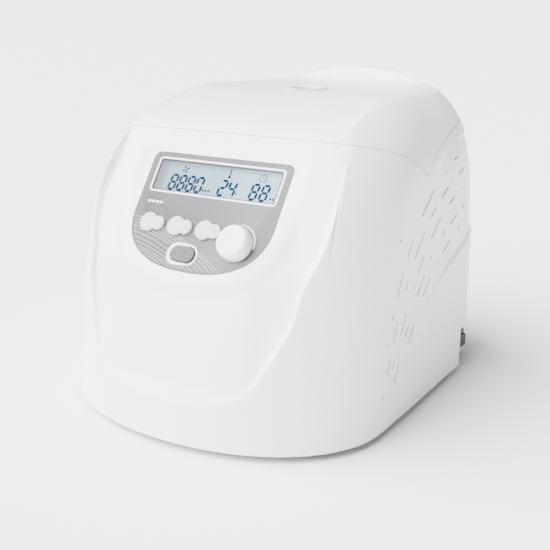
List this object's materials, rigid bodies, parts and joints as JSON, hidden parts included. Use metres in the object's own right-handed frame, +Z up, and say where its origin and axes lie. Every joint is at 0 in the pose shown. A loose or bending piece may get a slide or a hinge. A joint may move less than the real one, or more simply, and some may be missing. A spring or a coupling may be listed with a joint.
{
  "type": "laboratory centrifuge",
  "caption": "Bench-top laboratory centrifuge with a rounded white housing, a hinged lid with a sight glass, a sloping control panel, and a slotted capillary rotor in a steel chamber.",
  "frame": {"origin": "on the bench, under the middle of the object's box", "axes": "+Z up, front towards -Y, +X to the right of someone who faces the control panel"},
  "size_m": [0.283, 0.364, 0.264],
  "materials": {
    "shell": "smooth white moulded plastic",
    "liner": "fine-grained light grey plastic",
    "panel": "satin grey overlay with white lines",
    "button": "satin white keys",
    "start_button": "satin grey key with a white ring",
    "knob": "polished white plastic",
    "lens": "clear display window",
    "display": "pale blue-grey liquid crystal display",
    "board": "green circuit board",
    "black_plastic": "fine-grained black plastic",
    "rubber": "matt black rubber",
    "grey_rubber": "matt grey rubber",
    "steel": "brushed stainless steel",
    "zinc_steel": "zinc-plated sheet steel",
    "aluminium": "turned aluminium",
    "motor_paint": "dark grey motor enamel",
    "glass": "clear sight glass"
  },
  "bodies": {
    "body": {"base_plate": "zinc_steel", "base_screw_front_left": "zinc_steel", "base_screw_front_right": "zinc_steel", "base_screw_rear_left": "zinc_steel", "base_screw_rear_right": "zinc_steel", "chamber_bowl": "steel", "chamber_deck": "liner", "chamber_seal": "grey_rubber", "control_board": "board", "control_panel": "panel", "display_lens": "lens", "display_module": "display", "encoder_body": "zinc_steel", "foot_front_left": "rubber", "foot_front_right": "rubber", "foot_rear_left": "rubber", "foot_rear_right": "rubber", "fuse_drawer": "black_plastic", "hinge_lower_left": "zinc_steel", "hinge_lower_right": "zinc_steel", "hinge_pin_left": "steel", "hinge_pin_right": "steel", "housing": "shell", "lock_body_left": "black_plastic", "lock_body_right": "black_plastic", "motor_body": "motor_paint", "motor_damper_1": "rubber", "motor_damper_2": "rubber", "motor_damper_3": "rubber", "motor_plate": "zinc_steel", "power_board": "board", "power_inlet": "black_plastic", "rear_panel": "zinc_steel", "shaft_boot": "rubber", "switch_frame": "black_plastic"},
    "lid": {"lid_shell": "shell", "lid_liner": "liner", "sight_glass": "glass", "sight_glass_ring": "liner", "lid_catch_left": "zinc_steel", "lid_catch_right": "zinc_steel", "hinge_upper_left": "zinc_steel", "hinge_upper_right": "zinc_steel"},
    "rotor": {"rotor": "aluminium", "rotor_gasket": "rubber", "motor_shaft": "steel"},
    "rotor_cover": {"rotor_cover": "aluminium"},
    "rotor_nut": {"rotor_nut": "black_plastic"},
    "speed_knob": {"speed_knob": "knob", "encoder_shaft": "steel"},
    "button_left": {"button_left": "button"},
    "button_middle": {"button_middle": "button"},
    "button_right": {"button_right": "button"},
    "start_stop_button": {"start_stop_button": "start_button"},
    "power_rocker": {"power_rocker": "black_plastic"},
    "lock_bolt_left": {"lock_bolt_left": "steel"},
    "lock_bolt_right": {"lock_bolt_right": "steel"}
  },
  "joints": [
    {"name": "lid_hinge", "type": "hinge", "parent": "body", "child": "lid", "pos_m": [0, 0.176, 0.229], "axis": [-1, 0, 0], "range_deg": [0, 76]},
    {"name": "rotor_spin", "type": "hinge", "parent": "body", "child": "rotor", "pos_m": [0, 0.04, 0.15], "axis": [0, 0, 1], "continuous": true},
    {"name": "cover_lift", "type": "slide", "parent": "rotor", "child": "rotor_cover", "axis": [0, 0, 1], "range_m": [0, 0.006]},
    {"name": "cover_nut_turn", "type": "hinge", "parent": "rotor_cover", "child": "rotor_nut", "pos_m": [0, 0.04, 0.17], "axis": [0, 0, 1], "continuous": true},
    {"name": "speed_knob_turn", "type": "hinge", "parent": "body", "child": "speed_knob", "pos_m": [0.0395, -0.13343, 0.15532], "axis": [0, -0.8141, 0.5807], "continuous": true},
    {"name": "button_left_press", "type": "slide", "parent": "body", "child": "button_left", "axis": [0, 0.8141, -0.5807], "range_m": [0, 0.0012], "stiffness_N_per_m": 900, "springref_m": -0.001},
    {"name": "button_middle_press", "type": "slide", "parent": "body", "child": "button_middle", "axis": [0, 0.8141, -0.5807], "range_m": [0, 0.0012], "stiffness_N_per_m": 900, "springref_m": -0.001},
    {"name": "button_right_press", "type": "slide", "parent": "body", "child": "button_right", "axis": [0, 0.8141, -0.5807], "range_m": [0, 0.0012], "stiffness_N_per_m": 900, "springref_m": -0.001},
    {"name": "start_stop_press", "type": "slide", "parent": "body", "child": "start_stop_button", "axis": [0, 0.8141, -0.5807], "range_m": [0, 0.0012], "stiffness_N_per_m": 900, "springref_m": -0.001},
    {"name": "power_rocker_tilt", "type": "hinge", "parent": "body", "child": "power_rocker", "pos_m": [0.1275, 0.1, 0.021], "axis": [0, 0, 1], "range_deg": [0, 14]},
    {"name": "lock_bolt_left_slide", "type": "slide", "parent": "body", "child": "lock_bolt_left", "axis": [0, -1, 0], "range_m": [0, 0.007]},
    {"name": "lock_bolt_right_slide", "type": "slide", "parent": "body", "child": "lock_bolt_right", "axis": [0, -1, 0], "range_m": [0, 0.007]}
  ]
}
